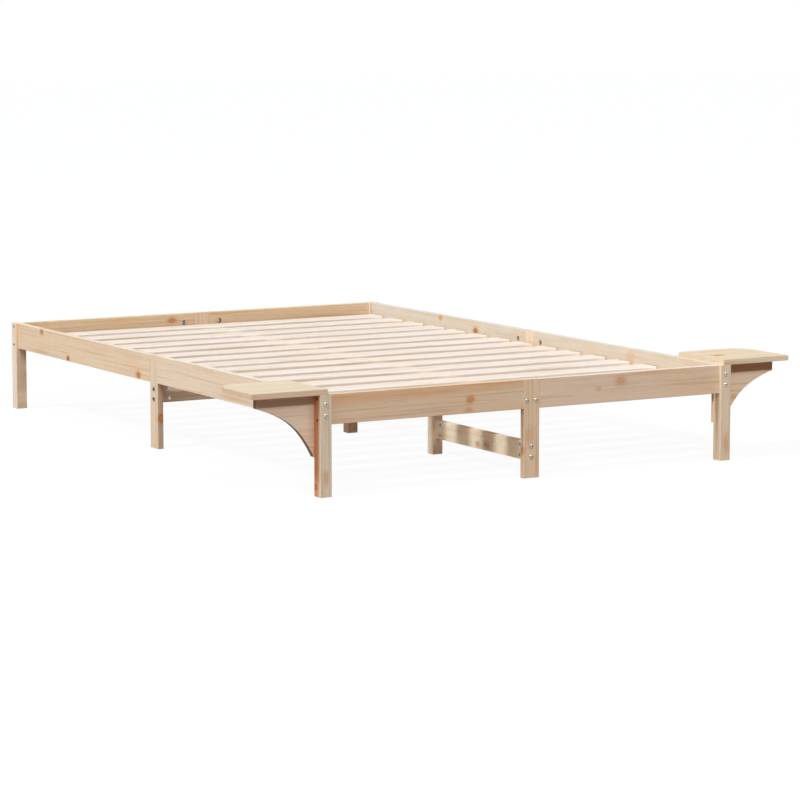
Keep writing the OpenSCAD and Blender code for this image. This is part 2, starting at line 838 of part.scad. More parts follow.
module barrel_nuts() {
  beam_nut = beam_thickness - 2 * fit_gap;
  board_nut = centre_board_thickness - 2 * fit_gap;
  color(metal_colour)
    for (s = [-1, 1]) {
      for (
        y = [
          quarter_leg_distance + centre_leg_size / 2 + barrel_setback,
          rail_inner_y - barrel_setback
        ],
        z = stretcher_bolt_heights
      )
        translate([0, s * y, z])
          rotate([0, 90, 0]) rotate([0, 0, 90]) barrel_nut(beam_nut);
      for (
        x = [centre_leg_size / 2 + barrel_setback, rail_inner_x - barrel_setback],
        z = cross_beam_bolt_heights
      )
        translate([s * x, 0, z]) rotate([90, 0, 0]) barrel_nut(beam_nut);
      for (x = board_bolt_offsets)
        translate([x, s * (rail_inner_y - barrel_setback), board_mid_z])
          rotate([0, 0, 90]) barrel_nut(board_nut);
    }
}

module slat_screws() {
  color(metal_colour)
    for (n = slat_numbers) at_slat_screws(n) wood_screw(slat_screw_length);
}

module support_screws() {
  color(metal_colour) {
    for (sx = [LEFT, RIGHT], sy = [HEAD, FOOT])
      at_ledger_screws(sx, sy) wood_screw(ledger_screw_length);
    for (sy = [HEAD, FOOT]) {
      at_centre_leg_screw(sy) wood_screw(board_screw_length);
      at_quarter_leg_screw(sy) wood_screw(board_screw_length);
    }
    for (sx = [LEFT, RIGHT]) {
      at_tongue_screws(sx) wood_screw(tongue_screw_length);
      at_bracket_cleat_screws(sx) wood_screw(cleat_screw_length);
      at_rail_cleat_screws(sx) wood_screw(cleat_screw_length);
      at_shelf_screws(sx) wood_screw(shelf_screw_length);
    }
  }
}

// ---------- the nodes ----------

corner_leg(LEFT, HEAD);  // leg_head_left
corner_leg(RIGHT, HEAD);  // leg_head_right
corner_leg(LEFT, FOOT);  // leg_foot_left
corner_leg(RIGHT, FOOT);  // leg_foot_right
end_mid_leg(HEAD);  // mid_leg_head
end_mid_leg(FOOT);  // mid_leg_foot
side_mid_leg(LEFT);  // mid_leg_left
side_mid_leg(RIGHT);  // mid_leg_right
end_rail(LEFT, HEAD);  // rail_head_left
end_rail(RIGHT, HEAD);  // rail_head_right
end_rail(LEFT, FOOT);  // rail_foot_left
end_rail(RIGHT, FOOT);  // rail_foot_right
side_rail(LEFT, HEAD);  // rail_left_head
side_rail(LEFT, FOOT);  // rail_left_foot
side_rail(RIGHT, HEAD);  // rail_right_head
side_rail(RIGHT, FOOT);  // rail_right_foot
centre_leg();
quarter_leg(HEAD);  // quarter_leg_head
quarter_leg(FOOT);  // quarter_leg_foot
stretcher(HEAD);  // stretcher_head
stretcher(FOOT);  // stretcher_foot
cross_beam(LEFT);  // cross_beam_left
cross_beam(RIGHT);  // cross_beam_right
centre_board(HEAD);  // centre_board_head
centre_board(FOOT);  // centre_board_foot
ledger(LEFT, HEAD);  // ledger_left_head
ledger(LEFT, FOOT);  // ledger_left_foot
ledger(RIGHT, HEAD);  // ledger_right_head
ledger(RIGHT, FOOT);  // ledger_right_foot
for (n = slat_numbers)
  slat(n);
shelf(LEFT);  // shelf_left
shelf(RIGHT);  // shelf_right
bracket(LEFT);  // bracket_left
bracket(RIGHT);  // bracket_right
bracket_cleat(LEFT);  // bracket_cleat_left
bracket_cleat(RIGHT);  // bracket_cleat_right
rail_cleat(LEFT);  // rail_cleat_left
rail_cleat(RIGHT);  // rail_cleat_right
corner_bolts();
half_moon_nuts();
mid_leg_studs();
beam_bolts();
barrel_nuts();
corner_screws();
slat_screws();
support_screws();
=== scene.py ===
"""Looks of a low slatted pine bed frame with a nightstand shelf at each head corner.

Metres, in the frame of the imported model: X across the bed, +Y from the head end to the
foot end, +Z up. Sizes inside the node trees are millimetres. A smooth step is written
as (low, high), or as (low, high, value at low, value at high).
"""
import math
import random

import bpy
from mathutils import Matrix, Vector


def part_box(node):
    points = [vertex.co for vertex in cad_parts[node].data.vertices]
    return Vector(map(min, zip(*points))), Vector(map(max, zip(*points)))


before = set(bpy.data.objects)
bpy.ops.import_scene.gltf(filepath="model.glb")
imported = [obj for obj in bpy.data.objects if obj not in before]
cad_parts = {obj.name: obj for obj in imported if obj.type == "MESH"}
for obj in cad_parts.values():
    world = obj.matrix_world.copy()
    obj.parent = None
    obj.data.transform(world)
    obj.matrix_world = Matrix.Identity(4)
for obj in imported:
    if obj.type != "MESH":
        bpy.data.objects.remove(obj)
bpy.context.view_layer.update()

MM = 0.001
MM_PER_METRE = 1000.0


# ---------- camera ----------

VIEW_AZIMUTH = math.radians(-30.10)
VIEW_ELEVATION = math.radians(7.60)
VIEW_DISTANCE = 9.0733
VIEW_TARGET = Vector((0.1644, 0.0, 0.0824))
SENSOR_WIDTH = 36.0
FOCAL_LENGTH = 140.895
CLIP_END = 200.0


def make_camera():
    """The photograph's viewpoint: no roll, no shift, no depth of field."""
    back = Vector((
        math.sin(VIEW_AZIMUTH) * math.cos(VIEW_ELEVATION),
        -math.cos(VIEW_AZIMUTH) * math.cos(VIEW_ELEVATION),
        math.sin(VIEW_ELEVATION),
    ))
    data = bpy.data.cameras.new("view")
    data.sensor_width = SENSOR_WIDTH
    data.lens = FOCAL_LENGTH
    data.clip_end = CLIP_END
    camera = bpy.data.objects.new("view", data)
    camera.location = VIEW_TARGET + back * VIEW_DISTANCE
    camera.rotation_euler = (-back).to_track_quat("-Z", "Y").to_euler()
    bpy.context.scene.collection.objects.link(camera)
    bpy.context.scene.camera = camera


# ---------- node trees in short calls ----------

NOISE_MEAN = 0.5
# the colour sockets of a Mix node, which have the same names as its other sockets
MIX_FACTOR, MIX_FIRST, MIX_SECOND, MIX_RESULT = 0, 6, 7, 2


class Tree:
    """Adds nodes to a node tree and links them."""

    def __init__(self, tree):
        self.tree = tree

    def add(self, kind, **settings):
        node = self.tree.nodes.new(kind)
        for name, value in settings.items():
            setattr(node, name, value)
        return node

    def plug(self, socket, value):
        """Links another node's output to a socket, or writes a plain value into it."""
        if isinstance(value, bpy.types.NodeSocket):
            self.tree.links.new(value, socket)
        else:
            socket.default_value = value

    def math(self, operation, *values):
        node = self.add("ShaderNodeMath", operation=operation)
        for socket, value in zip(node.inputs, values):
            self.plug(socket, value)
        return node.outputs[0]

    def vector(self, operation, *values):
        node = self.add("ShaderNodeVectorMath", operation=operation)
        for socket, value in zip(node.inputs, values):
            self.plug(socket, value)
        scalar = operation in ("LENGTH", "DOT_PRODUCT")
        return node.outputs["Value" if scalar else "Vector"]

    def split(self, vector):
        node = self.add("ShaderNodeSeparateXYZ")
        self.plug(node.inputs[0], vector)
        return node.outputs[0], node.outputs[1], node.outputs[2]

    def join(self, x, y, z):
        node = self.add("ShaderNodeCombineXYZ")
        for socket, value in zip(node.inputs, (x, y, z)):
            self.plug(socket, value)
        return node.outputs[0]

    def step(self, value, low, high, to_low=0.0, to_high=1.0):
        """A smooth step from to_low at low to to_high at high."""
        node = self.add("ShaderNodeMapRange", interpolation_type="SMOOTHSTEP")
        for socket, item in zip(node.inputs, (value, low, high, to_low, to_high)):
            self.plug(socket, item)
        return node.outputs[0]

    def noise(self, place, stretch, seed, detail=2.0):
        """Noise whose features are about stretch millimetres long on each axis."""
        scaled = self.vector("MULTIPLY", place, tuple(1.0 / s for s in stretch))
        node = self.add("ShaderNodeTexNoise")
        self.plug(node.inputs["Vector"], self.vector("ADD", scaled, seed))
        node.inputs["Scale"].default_value = 1.0
        node.inputs["Detail"].default_value = detail
        return node.outputs["Fac"]

    def about_zero(self, noise):
        return self.math("SUBTRACT", noise, NOISE_MEAN)

    def mix(self, factor, first, second, blend="MIX"):
        node = self.add("ShaderNodeMix", data_type="RGBA", blend_type=blend)
        self.plug(node.inputs[MIX_FACTOR], factor)
        self.plug(node.inputs[MIX_FIRST], first)
        self.plug(node.inputs[MIX_SECOND], second)
        return node.outputs[MIX_RESULT]

    def tint(self, colour, tint, share=1.0):
        """The colour, multiplied by a tint as far as the share says."""
        return self.mix(share, colour, tint, blend="MULTIPLY")

    def shade(self, colour, level):
        """The colour, multiplied by a plain number."""
        return self.tint(colour, self.join(level, level, level))

    def group(self, tree, **values):
        """A node group's outputs. An input's name has _ for each space."""
        node = self.add("ShaderNodeGroup", node_tree=tree)
        for name, value in values.items():
            self.plug(node.inputs[name.replace("_", " ")], value)
        return node.outputs

    def surface(self, output, shader_socket):
        """Makes a shader the tree's result."""
        self.plug(self.add(output).inputs["Surface"], shader_socket)


def new_group(name, inputs, outputs):
    """An empty node group. Returns its Tree, its inputs by name and its output node."""
    tree = bpy.data.node_groups.new(name, "ShaderNodeTree")
    for direction, sockets in (("INPUT", inputs), ("OUTPUT", outputs)):
        for label, kind in sockets:
            tree.interface.new_socket(
                label, in_out=direction, socket_type="NodeSocket" + kind
            )
    t = Tree(tree)
    return t, t.add("NodeGroupInput").outputs, t.add("NodeGroupOutput").inputs


def empty_tree(owner):
    """The emptied node tree of a material or a world."""
    owner.use_nodes = True
    owner.node_tree.nodes.clear()
    return Tree(owner.node_tree)


def add_skin(t, colour, roughness, height, relief, **constants):
    """A principled shader with bump as the material's surface.

    Relief is the bump's strength and its depth in millimetres. The constants are values
    for other sockets, with _ for each space in a socket's name.
    """
    strength, depth = relief
    bump = t.add("ShaderNodeBump")
    bump.inputs["Strength"].default_value = strength
    bump.inputs["Distance"].default_value = depth * MM
    t.plug(bump.inputs["Height"], height)
    shader = t.add("ShaderNodeBsdfPrincipled")
    for name, value in constants.items():
        shader.inputs[name.replace("_", " ")].default_value = value
    t.plug(shader.inputs["Base Color"], colour)
    t.plug(shader.inputs["Roughness"], roughness)
    t.plug(shader.inputs["Normal"], bump.outputs["Normal"])
    t.surface("ShaderNodeOutputMaterial", shader.outputs["BSDF"])


# ---------- pine: growth rings and knots ----------

# how long the grain's features are: along, across and through the board
DRIFT_STRETCH = (700.0, 5000.0, 5000.0)
WAVE_STRETCH = (190.0, 36.0, 36.0)
STREAK_STRETCH = (330.0, 7.0, 7.0)
FIBRE_STRETCH = (26.0, 0.9, 0.9)
BLOTCH_STRETCH = (160.0, 30.0, 30.0)
WAVER_STRETCH = (13.0, 6.0, 6.0)
# features that change from ring to ring only: by the radius, and by the ring's number
SPREAD_STRETCH = (13.0, 1.0, 1.0)
STRENGTH_STRETCH = (1.7, 1.0, 1.0)

DRIFT_IN_WAVES = 2.0
SPREAD_IN_RINGS = 2.4
# late wood over the width of one ring: it darkens slowly and ends at once
LATE_RISE = (0.25, 0.86)
LATE_FALL = (0.90, 1.0, 1.0, 0.0)
RING_STRENGTH = (0.2, 0.8, 0.35, 1.0)

# a knot's parts by the distance from its centre, in its own radii
OUTLINE_WAVER = 1.1
CORE_STEP = (0.7, 1.15, 1.0, 0.0)
RIM_INSIDE = (0.55, 0.95)
RIM_OUTSIDE = (0.95, 1.4, 1.0, 0.0)
HALO_STEP = (0.8, 2.9, 1.0, 0.0)
BEND_STEP = (0.0, 3.4, 1.0, 0.0)


def make_grain_group():
    """Growth rings round a pith that lies along the board, beside or inside it.

    Place is in millimetres: x along the grain, y across the board, z through it.
    """
    t, given, result = new_group(
        "pine_grain",
        [("Place", "Vector"), ("Seed", "Vector"), ("Pith", "Vector"),
         ("Lean", "Vector"), ("Ring Width", "Float"), ("Wave", "Float"),
         ("Bend", "Float")],
        [("Late", "Float"), ("Streak", "Float"), ("Fibre", "Float"),
         ("Blotch", "Float"), ("Radius", "Float")],
    )
    place = given["Place"]
    seed = given["Seed"]
    along, across, through = t.split(place)
    _, pith_y, pith_z = t.split(given["Pith"])
    _, lean_y, lean_z = t.split(given["Lean"])
    drift = t.about_zero(t.noise(place, DRIFT_STRETCH, seed, detail=1.0))
    drift = t.math("MULTIPLY", drift, given["Wave"])
    dy = t.math("SUBTRACT", across, t.math("MULTIPLY_ADD", along, lean_y, pith_y))
    dz = t.math("SUBTRACT", through, t.math("MULTIPLY_ADD", along, lean_z, pith_z))
    dy = t.math("ADD", dy, t.math("MULTIPLY", drift, DRIFT_IN_WAVES))
    radius = t.vector("LENGTH", t.join(0.0, dy, dz))
    wave = t.about_zero(t.noise(place, WAVE_STRETCH, seed))
    wave = t.math("MULTIPLY", wave, given["Wave"])
    radius = t.math("ADD", t.math("ADD", radius, wave), given["Bend"])
    t.plug(result["Radius"], radius)

    spread = t.noise(t.join(radius, 0.0, 0.0), SPREAD_STRETCH, seed, detail=1.0)
    rings = t.math("DIVIDE", radius, given["Ring Width"])
    rings = t.math("MULTIPLY_ADD", spread, SPREAD_IN_RINGS, rings)
    phase = t.math("FRACT", rings)
    late = t.math("MULTIPLY", t.step(phase, *LATE_RISE), t.step(phase, *LATE_FALL))
    number = t.join(t.math("FLOOR", rings), 0.0, 0.0)
    strength = t.noise(number, STRENGTH_STRETCH, seed, detail=0.0)
    late = t.math("MULTIPLY", late, t.step(strength, *RING_STRENGTH))
    t.plug(result["Late"], late)

    t.plug(result["Streak"], t.noise(place, STREAK_STRETCH, seed, detail=3.0))
    t.plug(result["Fibre"], t.noise(place, FIBRE_STRETCH, seed))
    t.plug(result["Blotch"], t.noise(place, BLOTCH_STRETCH, seed))
    return t.tree


def make_knot_group():
    """One branch knot: its dark core and rim, the stained halo and the grain's bend."""
    t, given, result = new_group(
        "pine_knot",
        [("Place", "Vector"), ("Centre", "Vector"), ("Radii", "Vector"),
         ("Waver", "Float")],
        [("Core", "Float"), ("Rim", "Float"), ("Halo", "Float"), ("Bend", "Float")],
    )
    offset = t.vector("SUBTRACT", given["Place"], given["Centre"])
    distance = t.vector("LENGTH", t.vector("DIVIDE", offset, given["Radii"]))
    waver = t.about_zero(given["Waver"])
    distance = t.math("MULTIPLY_ADD", waver, OUTLINE_WAVER, distance)
    t.plug(result["Core"], t.step(distance, *CORE_STEP))
    inside = t.step(distance, *RIM_INSIDE)
    outside = t.step(distance, *RIM_OUTSIDE)
    t.plug(result["Rim"], t.math("MULTIPLY", inside, outside))
    t.plug(result["Halo"], t.step(distance, *HALO_STEP))
    t.plug(result["Bend"], t.step(distance, *BEND_STEP))
    return t.tree


GRAIN = make_grain_group()
KNOT = make_knot_group()


# ---------- pine: boards ----------

WHITE = (1.0, 1.0, 1.0, 1.0)
LATE_TINT = (0.80, 0.64, 0.48, 1.0)
STREAK_DARK = (0.86, 0.80, 0.72, 1.0)
STREAK_LIGHT = (1.05, 1.05, 1.06, 1.0)
WARM_TINT = (1.0, 0.90, 0.78, 1.0)
HALO_COLOUR = (0.62, 0.29, 0.11, 1.0)
CORE_COLOUR = (0.38, 0.13, 0.045, 1.0)
RIM_COLOUR = (0.12, 0.05, 0.02, 1.0)
# edges a little lighter: partly wear, partly painted highlight
WEAR_AND_HIGHLIGHT_TINT = (1.03, 1.03, 1.03, 1.0)
# painted shade for the brackets' undersides and ends
UNDER_SHADE_TINT = (0.34, 0.26, 0.21, 1.0)
# painted shade inside bores and notches
BORE_SHADE_TINT = (0.16, 0.12, 0.10, 1.0)

# where the grain's patterns show
DARK_STREAK = (0.30, 0.50, 1.0, 0.0)
LIGHT_STREAK = (0.52, 0.72)
BLOTCH_STEP = (0.42, 0.70)
FIBRE_SHADE = (0.25, 0.75, 0.93, 1.05)
# where a face counts, by one part of its normal
END_STEP = (0.75, 0.95)
TOP_STEP = (0.6, 0.9)
UNDER_SHADE_STEP = (-0.5, -0.25, 1.0, 0.0)
# what is left of streaks and rings on end grain
END_FIGURE = 0.35
# wear with painted highlight by the distance from an edge, broken up by noise, and
# painted shade in bores by their depth
WEAR_AND_HIGHLIGHT_STEP = (0.6, 2.6, 1.0, 0.0)
WEAR_AND_HIGHLIGHT_BREAKS = (0.35, 0.6, 0.3, 1.0)
BORE_SHADE_STEP = (1.2, 3.5)

# a knot's radius through the board, its rim's part of its darkness, and the grain's
# shift beside it, in the knot's radius across the board
KNOT_DEPTH = 9.0
RIM_SHARE = 0.8
KNOT_BEND = 1.1

# roughness and height, and what late wood, fibre, wear and a knot's rim add to them
PINE_ROUGHNESS = 0.66
LATE_ROUGHNESS = -0.10
FIBRE_ROUGHNESS = 0.10
WEAR_ROUGHNESS = -0.08
LATE_HEIGHT = 0.5
FIBRE_HEIGHT = 0.9
RIM_HEIGHT = -0.8
# the bump's strength and depth
PINE_RELIEF = (0.35, 0.25)
PINE_SPECULAR = 0.25

SEED_RANGE = (10.0, 900.0)


class Knot:
    """A knot, with its centre in the frame and its radii in millimetres.

    Dark and halo say how strongly its core and the stain round it show, from 0 to 1.
    """

    def __init__(self, place, along, across, dark, halo):
        self.place = place
        self.radii = (along, across, KNOT_DEPTH)
        self.dark = dark
        self.halo = halo


class Board:
    """A board's box in the frame and its own axes, which start at its centre.

    The axes are numbers: along the grain, across the board's width, through it. Where
    along isn't given, the grain follows the board's length.
    """

    def __init__(self, node, along):
        low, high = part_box(node)
        self.size = high - low
        self.centre = (low + high) / 2
        if along is None:
            along = max(range(3), key=lambda axis: self.size[axis])
        rest = [axis for axis in range(3) if axis != along]
        rest.sort(key=lambda axis: -self.size[axis])
        self.axes = (along, rest[0], rest[1])

    def place(self, t):
        """The shaded place in millimetres, in the board's own axes."""
        coordinates = t.add("ShaderNodeTexCoord").outputs["Object"]
        local = t.vector("SUBTRACT", coordinates, tuple(self.centre))
        parts = t.split(t.vector("MULTIPLY", local, (MM_PER_METRE,) * 3))
        return t.join(*(parts[axis] for axis in self.axes))

    def point(self, frame_point):
        """A point of the frame, in millimetres, in the board's own axes."""
        return tuple(
            frame_point[axis] - self.centre[axis] * MM_PER_METRE for axis in self.axes
        )

    def edge_and_depth(self, t, place):
        """Distances in millimetres of a place on the board's surface.

        The first is to the nearest edge. The second is to the outer faces, and is more
        than 0 only in a bore or a notch.
        """
        gaps = []
        for part, axis in zip(t.split(place), self.axes):
            half = self.size[axis] * MM_PER_METRE / 2
            gaps.append(t.math("SUBTRACT", half, t.math("ABSOLUTE", part)))
        nearer = t.math("MINIMUM", gaps[0], gaps[1])
        farther = t.math("MAXIMUM", gaps[0], gaps[1])
        edge = t.math("MAXIMUM", nearer, t.math("MINIMUM", farther, gaps[2]))
        return edge, t.math("MINIMUM", nearer, gaps[2])


def add_knots(t, board, place, waver, knots):
    """Each knot with its group's outputs, and how far they shift the grain."""
    placed = []
    bend = 0.0
    for knot in knots:
        outputs = t.group(
            KNOT,
            Place=place,
            Centre=board.point(knot.place),
            Radii=knot.radii,
            Waver=waver,
        )
        placed.append((knot, outputs))
        shift = KNOT_BEND * knot.radii[1]
        bend = t.math("MULTIPLY_ADD", outputs["Bend"], shift, bend)
    return placed, bend


def grain_colour(t, look, grain, figure):
    """Sapwood with its streaks, a tint round the pith (heartwood, and on two boards
    painted light and shade), blotches, late wood and fibre.
    """
    dark = t.math("MULTIPLY", t.step(grain["Streak"], *DARK_STREAK), figure)
    colour = t.mix(dark, WHITE, STREAK_DARK)
    light = t.math("MULTIPLY", t.step(grain["Streak"], *LIGHT_STREAK), figure)
    colour = t.mix(light, colour, STREAK_LIGHT)
    colour = t.tint(colour, look["sap"] + (1.0,))
    # a tint round the pith: heartwood on the left head leg and rail, painted light and
    # shade on the right head leg and bracket
    reach = look["heart_and_painted_light_radius"]
    if reach > 0.0:
        soft = look["heart_and_painted_light_soft"]
        inside = t.step(grain["Radius"], reach - soft, reach + soft, 1.0, 0.0)
        colour = t.tint(colour, look["heart_and_painted_light"] + (1.0,), inside)
    warm = t.step(grain["Blotch"], *BLOTCH_STEP, 0.0, look["warm"])
    colour = t.tint(colour, WARM_TINT, warm)
    late = t.math("MULTIPLY", grain["Late"], look["contrast"])
    colour = t.tint(colour, LATE_TINT, t.math("MULTIPLY", late, figure))
    return t.shade(colour, t.step(grain["Fibre"], *FIBRE_SHADE))


def knot_colour(t, colour, placed):
    """The wood's colour with its knots laid over it."""
    for knot, outputs in placed:
        halo = t.math("MULTIPLY", outputs["Halo"], knot.halo)
        colour = t.mix(halo, colour, HALO_COLOUR)
        core = t.math("MULTIPLY", outputs["Core"], knot.dark)
        colour = t.mix(core, colour, CORE_COLOUR)
        rim = t.math("MULTIPLY", outputs["Rim"], RIM_SHARE * knot.dark)
        colour = t.mix(rim, colour, RIM_COLOUR)
    return colour


def face_colour(t, look, colour, normal, end_grain):
    """The wood's colour with the tint of its ends, painted shade on its underside and
    ends where the look asks for it, and painted light and shade on its top and front
    faces.
    """
    colour = t.tint(colour, look["end"] + (1.0,), end_grain)
    _, front, up = t.split(normal)
    # painted shade: the underside, and with dark_ends the ends too, are darkened
    if look["painted_under_shade"]:
        painted_under_shade = t.step(up, *UNDER_SHADE_STEP)
        if look["dark_ends"]:
            painted_under_shade = t.math("MAXIMUM", painted_under_shade, end_grain)
        colour = t.tint(colour, UNDER_SHADE_TINT, painted_under_shade)
    # painted light and shade on the faces that look up
    if look["top"] is not None:
        colour = t.tint(colour, look["top"] + (1.0,), t.step(up, *TOP_STEP))
    # painted light and shade on the faces that look along the bed
    if look["front"] is not None:
        front = t.step(t.math("ABSOLUTE", front), *TOP_STEP)
        colour = t.tint(colour, look["front"] + (1.0,), front)
    return colour


def make_pine(node, look, rng):
    """The pine of one board: its own rings, tint and knots, edge wear with painted
    highlight, and painted light and shade on some faces and in bores.
    """
    board = Board(node, look["along"])
    material = bpy.data.materials.new("pine_" + node)
    t = empty_tree(material)
    place = board.place(t)
    seed = tuple(rng.uniform(*SEED_RANGE) for _ in range(3))
    waver = t.noise(place, WAVER_STRETCH, seed)
    placed, bend = add_knots(t, board, place, waver, look["knots"])
    grain = t.group(
        GRAIN,
        Place=place,
        Seed=seed,
        Pith=(0.0,) + look["pith"],
        Lean=(0.0,) + look["lean"],
        Ring_Width=look["ring"],
        Wave=look["wave"],
        Bend=bend,
    )

    normal = t.add("ShaderNodeNewGeometry").outputs["Normal"]
    facing = t.math("ABSOLUTE", t.split(normal)[board.axes[0]])
    end_grain = t.step(facing, *END_STEP)
    figure = t.step(facing, *END_STEP, look["figure"], END_FIGURE)

    colour = grain_colour(t, look, grain, figure)
    colour = knot_colour(t, colour, placed)
    colour = face_colour(t, look, colour, normal, end_grain)
    edge, depth = board.edge_and_depth(t, place)
    # lighter edges: partly wear, partly painted highlight; the same mask makes worn
    # edges smoother
    wear_and_highlight = t.math("MULTIPLY", t.step(edge, *WEAR_AND_HIGHLIGHT_STEP), t.step(waver, *WEAR_AND_HIGHLIGHT_BREAKS))
    colour = t.tint(colour, WEAR_AND_HIGHLIGHT_TINT, wear_and_highlight)
    # painted shade in bores and notches, by their depth below the outer faces
    if look["straight"]:
        colour = t.tint(colour, BORE_SHADE_TINT, t.step(depth, *BORE_SHADE_STEP))

    rough = t.math("MULTIPLY_ADD", grain["Late"], LATE_ROUGHNESS, PINE_ROUGHNESS)
    rough = t.math("MULTIPLY_ADD", grain["Fibre"], FIBRE_ROUGHNESS, rough)
    rough = t.math("MULTIPLY_ADD", wear_and_highlight, WEAR_ROUGHNESS, rough)

    height = t.math("MULTIPLY", grain["Fibre"], FIBRE_HEIGHT)
    height = t.math("MULTIPLY_ADD", grain["Late"], LATE_HEIGHT, height)
    for _, outputs in placed:
        height = t.math("MULTIPLY_ADD", outputs["Rim"], RIM_HEIGHT, height)
    add_skin(t, colour, rough, height, PINE_RELIEF, Specular_IOR_Level=PINE_SPECULAR)
    return material


# ---------- steel ----------

MOTTLE_STRETCH = (2.2, 2.2, 2.2)
MOTTLE_SEED = (5.0, 11.0, 17.0)
MOTTLE_STEP = (0.35, 0.65)
SCRATCH_STRETCH = (0.25, 3.0, 1.2)
SCRATCH_SEED = (31.0, 7.0, 3.0)
SCRATCH_STEP = (0.6, 0.75)
# painted shade in hollows, by how much of the way round is open
HOLLOW_REACH = 4.0
HOLLOW_SHADE_STEP = (0.35, 0.9, 0.20, 1.0)
STEEL_ROUGHNESS = (0.3, 0.7, 0.20, 0.32)
SCRATCH_ROUGHNESS = 0.15
STEEL_RELIEF = (0.2, 0.05)
# the part of its colour that painted shade takes away
SHADE_ZONE_SHARE = 0.6

# where steel is darkened by painted shade, from one distance from the bed's middle line
# to
# another: for bolts in the side legs, and for nuts close to the middle line
SIDE_LEGS = (600.0, 900.0)
MIDDLE_LINE = (-1.0, 30.0)

# each finish's material, dull and bright colour, and zone of painted shade
ZINC = ("zinc_steel", (0.42, 0.40, 0.37), (0.60, 0.57, 0.53), None)
FINISHES = {
    "beam_bolts": ("bolt_steel", (0.34, 0.31, 0.28), (0.50, 0.46, 0.42), SIDE_LEGS),
    "barrel_nuts": ("nut_steel", (0.38, 0.35, 0.32), (0.56, 0.52, 0.48), MIDDLE_LINE),
    # painted shade: the near-black steel stands in for the shade in the screws'
    # counterbores
    "corner_screws": ("counterbore_shade_steel", (0.03, 0.03, 0.03), (0.07, 0.065, 0.06), None),
}


def make_steel(name, dull, bright, painted_shade_zone):
    """A fine mottle and small scratches, with painted shade where the steel is hollow.
    """
    material = bpy.data.materials.new(name)
    t = empty_tree(material)
    coordinates = t.add("ShaderNodeTexCoord").outputs["Object"]
    place = t.vector("MULTIPLY", coordinates, (MM_PER_METRE,) * 3)
    mottle = t.noise(place, MOTTLE_STRETCH, MOTTLE_SEED, detail=3.0)
    scratch = t.noise(place, SCRATCH_STRETCH, SCRATCH_SEED)
    colour = t.mix(t.step(mottle, *MOTTLE_STEP), dull + (1.0,), bright + (1.0,))
    # painted shade in sockets and round the heads, from ambient occlusion
    hollow_shade = t.add("ShaderNodeAmbientOcclusion", only_local=True)
    hollow_shade.inputs["Distance"].default_value = HOLLOW_REACH * MM
    colour = t.shade(colour, t.step(hollow_shade.outputs["AO"], *HOLLOW_SHADE_STEP))
    # painted shade on the fasteners inside the zone
    if painted_shade_zone is not None:
        aside = t.math("ABSOLUTE", t.split(place)[0])
        inside = t.math(
            "MULTIPLY",
            t.math("GREATER_THAN", aside, painted_shade_zone[0]),
            t.math("LESS_THAN", aside, painted_shade_zone[1]),
        )
        colour = t.shade(colour, t.math("MULTIPLY_ADD", inside, -SHADE_ZONE_SHARE, 1.0))
    rough = t.step(mottle, *STEEL_ROUGHNESS)
    scratched = t.step(scratch, *SCRATCH_STEP)
    rough = t.math("MULTIPLY_ADD", scratched, SCRATCH_ROUGHNESS, rough)
    add_skin(t, colour, rough, scratch, STEEL_RELIEF, Metallic=1.0)
    return material


# ---------- what each board looks like ----------

X_AXIS = 0
PALE_PINE = (0.74, 0.61, 0.49)
PINE = (0.73, 0.56, 0.41)
FOOT_PINE = (0.70, 0.52, 0.34)
SLAT_PINE = (0.73, 0.63, 0.55)
BOARD_END = (0.97, 0.93, 0.88)
SHELF_END = (0.90, 0.86, 0.84)
# painted light: a paler, cooler tint on the rails' tops
RAIL_TOP_PAINTED_LIGHT = (0.94, 1.06, 1.18)
# painted light on the slats' faces that look along the bed
SLAT_EDGE_PAINTED_LIGHT = (1.16, 1.20, 1.24)
SLATS = 15
USUAL_WARMTH = 0.6
USUAL_CONTRAST = 0.17
FULL_FIGURE = 1.0

# ranges of what is drawn for each board: the pith's distance from its middle line, and
# how the rings wave, how wide they are and how much they lean
WOOD_SEED = 41
PITH_REACH = (28.0, 75.0)
WAVE_RANGE = (6.0, 12.0)
RING_RANGE = (3.2, 5.2)
LEAN_ACROSS = (-0.012, 0.012)
LEAN_THROUGH = (-0.008, 0.008)
